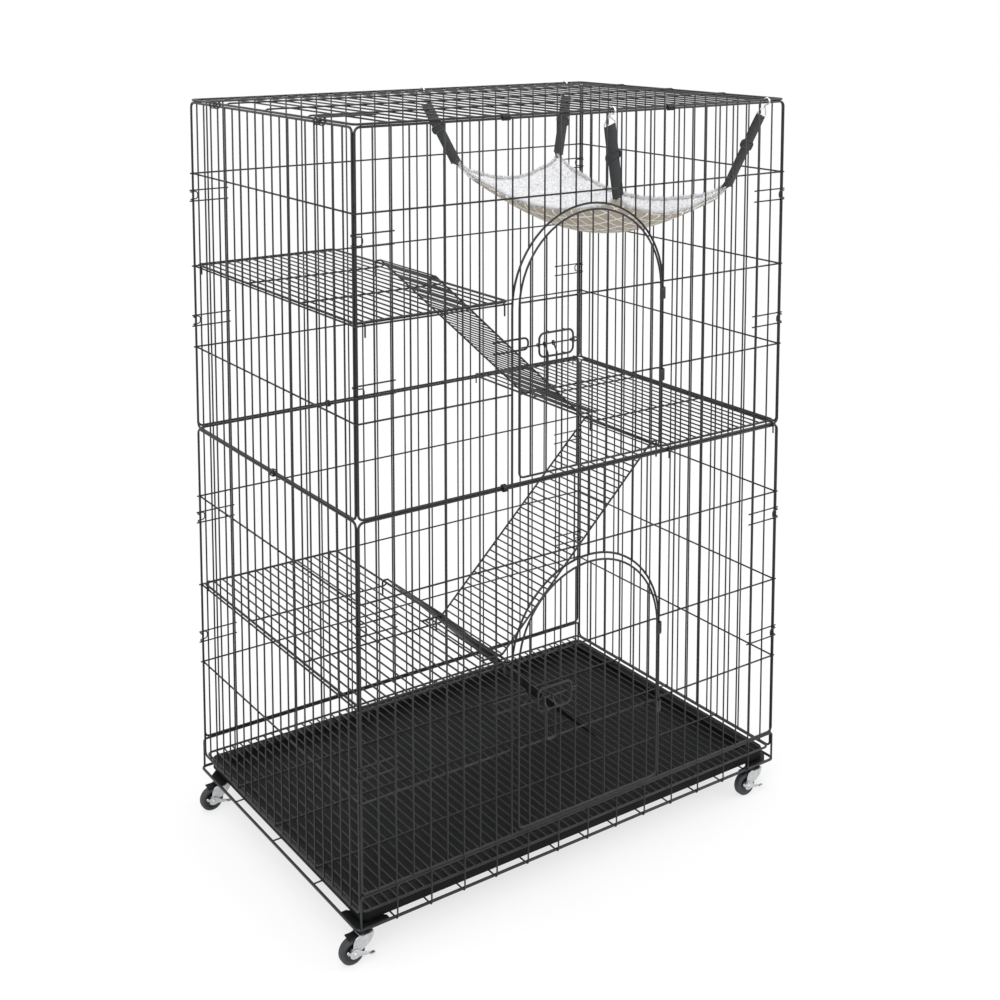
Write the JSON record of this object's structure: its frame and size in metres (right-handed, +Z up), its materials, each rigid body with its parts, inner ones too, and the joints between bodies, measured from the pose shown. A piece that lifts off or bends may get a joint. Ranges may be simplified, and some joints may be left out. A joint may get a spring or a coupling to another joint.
{
  "type": "cat cage",
  "caption": "Tall two-tier wire cat cage on casters, with arched doors, shelves joined by ramps, a hanging hammock, and a tray under the floor grid.",
  "frame": {"origin": "on the floor, under the middle of the whole part's box", "axes": "+Z up, -Y towards the front with the doors, +X to the right seen from the front"},
  "size_m": [0.9436, 0.6288, 1.329],
  "materials": {
    "black_wire": "near-black powder coat, half matt",
    "tray_plastic": "fine-grained black moulding",
    "zinc_steel": "zinc-plated pressed sheet",
    "wheel_tread": "matt black tread",
    "plush_cloth": "light grey short-pile plush above, quilted beige below",
    "webbing": "woven dark strap",
    "buckle_plastic": "moulded black plastic",
    "bright_steel": "bright plated wire"
  },
  "bodies": {
    "root": {"lower_front_panel": "black_wire", "lower_back_panel": "black_wire", "lower_left_panel": "black_wire", "lower_right_panel": "black_wire", "upper_front_panel": "black_wire", "upper_back_panel": "black_wire", "upper_left_panel": "black_wire", "upper_right_panel": "black_wire", "roof_panel": "black_wire", "base_frame": "black_wire", "base_front_rail": "black_wire", "base_back_rail": "black_wire", "floor_grid": "black_wire", "upper_shelf": "black_wire", "middle_shelf": "black_wire", "lower_shelf": "black_wire", "front_tier_clip": "black_wire", "back_tier_clip": "black_wire", "left_tier_clip": "black_wire", "front_left_caster_bracket": "black_wire", "front_right_caster_bracket": "black_wire", "back_left_caster_bracket": "black_wire", "back_right_caster_bracket": "black_wire", "hammock_cloth": "plush_cloth", "front_left_snap_hook": "bright_steel", "front_left_strap": "webbing", "front_left_strap_buckle": "buckle_plastic", "front_right_snap_hook": "bright_steel", "front_right_strap": "webbing", "front_right_strap_buckle": "buckle_plastic", "back_left_snap_hook": "bright_steel", "back_left_strap": "webbing", "back_left_strap_buckle": "buckle_plastic", "back_right_snap_hook": "bright_steel", "back_right_strap": "webbing", "back_right_strap_buckle": "buckle_plastic"},
    "tray_drawer": {"tray": "tray_plastic"},
    "lower_door": {"lower_door": "black_wire"},
    "lower_bolt": {"lower_door_bolt": "black_wire"},
    "lower_handle": {"lower_bolt_handle": "black_wire"},
    "upper_door": {"upper_door": "black_wire"},
    "upper_bolt": {"upper_door_bolt": "black_wire"},
    "upper_handle": {"upper_bolt_handle": "black_wire"},
    "upper_ramp": {"upper_ramp": "black_wire"},
    "middle_ramp": {"middle_ramp": "black_wire"},
    "lower_ramp": {"lower_ramp": "black_wire"},
    "front_latch": {"front_roof_latch": "black_wire"},
    "back_latch": {"back_roof_latch": "black_wire"},
    "front_left_fork": {"front_left_caster_fork": "zinc_steel"},
    "front_left_wheel": {"front_left_caster_wheel": "wheel_tread"},
    "front_left_brake": {"front_left_brake_lever": "zinc_steel"},
    "front_right_fork": {"front_right_caster_fork": "zinc_steel"},
    "front_right_wheel": {"front_right_caster_wheel": "wheel_tread"},
    "front_right_brake": {"front_right_brake_lever": "zinc_steel"},
    "back_left_fork": {"back_left_caster_fork": "zinc_steel"},
    "back_left_wheel": {"back_left_caster_wheel": "wheel_tread"},
    "back_left_brake": {"back_left_brake_lever": "zinc_steel"},
    "back_right_fork": {"back_right_caster_fork": "zinc_steel"},
    "back_right_wheel": {"back_right_caster_wheel": "wheel_tread"},
    "back_right_brake": {"back_right_brake_lever": "zinc_steel"}
  },
  "joints": [
    {"name": "tray_slide", "type": "slide", "parent": "root", "child": "tray_drawer", "axis": [-1, 0, 0], "range_m": [0, 0.6]},
    {"name": "lower_door_hinge", "type": "hinge", "parent": "root", "child": "lower_door", "pos_m": [0.17398, -0.29225, 0.312], "axis": [0, 0, 1], "range_deg": [0, 120]},
    {"name": "lower_bolt_slide", "type": "slide", "parent": "lower_door", "child": "lower_bolt", "axis": [1, 0, 0], "range_m": [0, 0.025]},
    {"name": "lower_handle_swing", "type": "hinge", "parent": "lower_bolt", "child": "lower_handle", "pos_m": [-0.08172, -0.30375, 0.341], "axis": [-1, 0, 0], "range_deg": [0, 100]},
    {"name": "upper_door_hinge", "type": "hinge", "parent": "root", "child": "upper_door", "pos_m": [0.17398, -0.29225, 0.918], "axis": [0, 0, 1], "range_deg": [0, 120]},
    {"name": "upper_bolt_slide", "type": "slide", "parent": "upper_door", "child": "upper_bolt", "axis": [1, 0, 0], "range_m": [0, 0.025]},
    {"name": "upper_handle_swing", "type": "hinge", "parent": "upper_bolt", "child": "upper_handle", "pos_m": [-0.08172, -0.30375, 0.947], "axis": [-1, 0, 0], "range_deg": [0, 100]},
    {"name": "upper_ramp_lift", "type": "hinge", "parent": "root", "child": "upper_ramp", "pos_m": [-0.15172, 0.00775, 1.022], "axis": [0, -1, 0], "range_deg": [0, 40]},
    {"name": "middle_ramp_lift", "type": "hinge", "parent": "root", "child": "middle_ramp", "pos_m": [0.17828, 0.00775, 0.7217], "axis": [0, 1, 0], "range_deg": [0, 40]},
    {"name": "lower_ramp_lift", "type": "hinge", "parent": "root", "child": "lower_ramp", "pos_m": [-0.15172, 0.00775, 0.416], "axis": [0, -1, 0], "range_deg": [0, 40]},
    {"name": "front_latch_turn", "type": "hinge", "parent": "root", "child": "front_latch", "pos_m": [-0.43572, -0.18595, 1.32185], "axis": [0, -1, 0], "range_deg": [0, 180]},
    {"name": "back_latch_turn", "type": "hinge", "parent": "root", "child": "back_latch", "pos_m": [-0.43572, 0.20145, 1.32185], "axis": [0, -1, 0], "range_deg": [0, 180]},
    {"name": "front_left_swivel", "type": "hinge", "parent": "root", "child": "front_left_fork", "pos_m": [-0.42772, -0.28325, 0.044], "axis": [0, 0, 1], "continuous": true},
    {"name": "front_left_roll", "type": "hinge", "parent": "front_left_fork", "child": "front_left_wheel", "pos_m": [-0.44972, -0.28325, 0.0215], "axis": [0, 1, 0], "continuous": true},
    {"name": "front_left_brake_press", "type": "hinge", "parent": "front_left_fork", "child": "front_left_brake", "pos_m": [-0.44972, -0.28325, 0.0215], "axis": [0, 1, 0], "range_deg": [0, 12]},
    {"name": "front_right_swivel", "type": "hinge", "parent": "root", "child": "front_right_fork", "pos_m": [0.42428, -0.28325, 0.044], "axis": [0, 0, 1], "continuous": true},
    {"name": "front_right_roll", "type": "hinge", "parent": "front_right_fork", "child": "front_right_wheel", "pos_m": [0.40228, -0.28325, 0.0215], "axis": [0, 1, 0], "continuous": true},
    {"name": "front_right_brake_press", "type": "hinge", "parent": "front_right_fork", "child": "front_right_brake", "pos_m": [0.40228, -0.28325, 0.0215], "axis": [0, 1, 0], "range_deg": [0, 12]},
    {"name": "back_left_swivel", "type": "hinge", "parent": "root", "child": "back_left_fork", "pos_m": [-0.42772, 0.24975, 0.044], "axis": [0, 0, 1], "continuous": true},
    {"name": "back_left_roll", "type": "hinge", "parent": "back_left_fork", "child": "back_left_wheel", "pos_m": [-0.44972, 0.24975, 0.0215], "axis": [0, 1, 0], "continuous": true},
    {"name": "back_left_brake_press", "type": "hinge", "parent": "back_left_fork", "child": "back_left_brake", "pos_m": [-0.44972, 0.24975, 0.0215], "axis": [0, 1, 0], "range_deg": [0, 12]},
    {"name": "back_right_swivel", "type": "hinge", "parent": "root", "child": "back_right_fork", "pos_m": [0.42428, 0.24975, 0.044], "axis": [0, 0, 1], "continuous": true},
    {"name": "back_right_roll", "type": "hinge", "parent": "back_right_fork", "child": "back_right_wheel", "pos_m": [0.40228, 0.24975, 0.0215], "axis": [0, 1, 0], "continuous": true},
    {"name": "back_right_brake_press", "type": "hinge", "parent": "back_right_fork", "child": "back_right_brake", "pos_m": [0.40228, 0.24975, 0.0215], "axis": [0, 1, 0], "range_deg": [0, 12]}
  ]
}
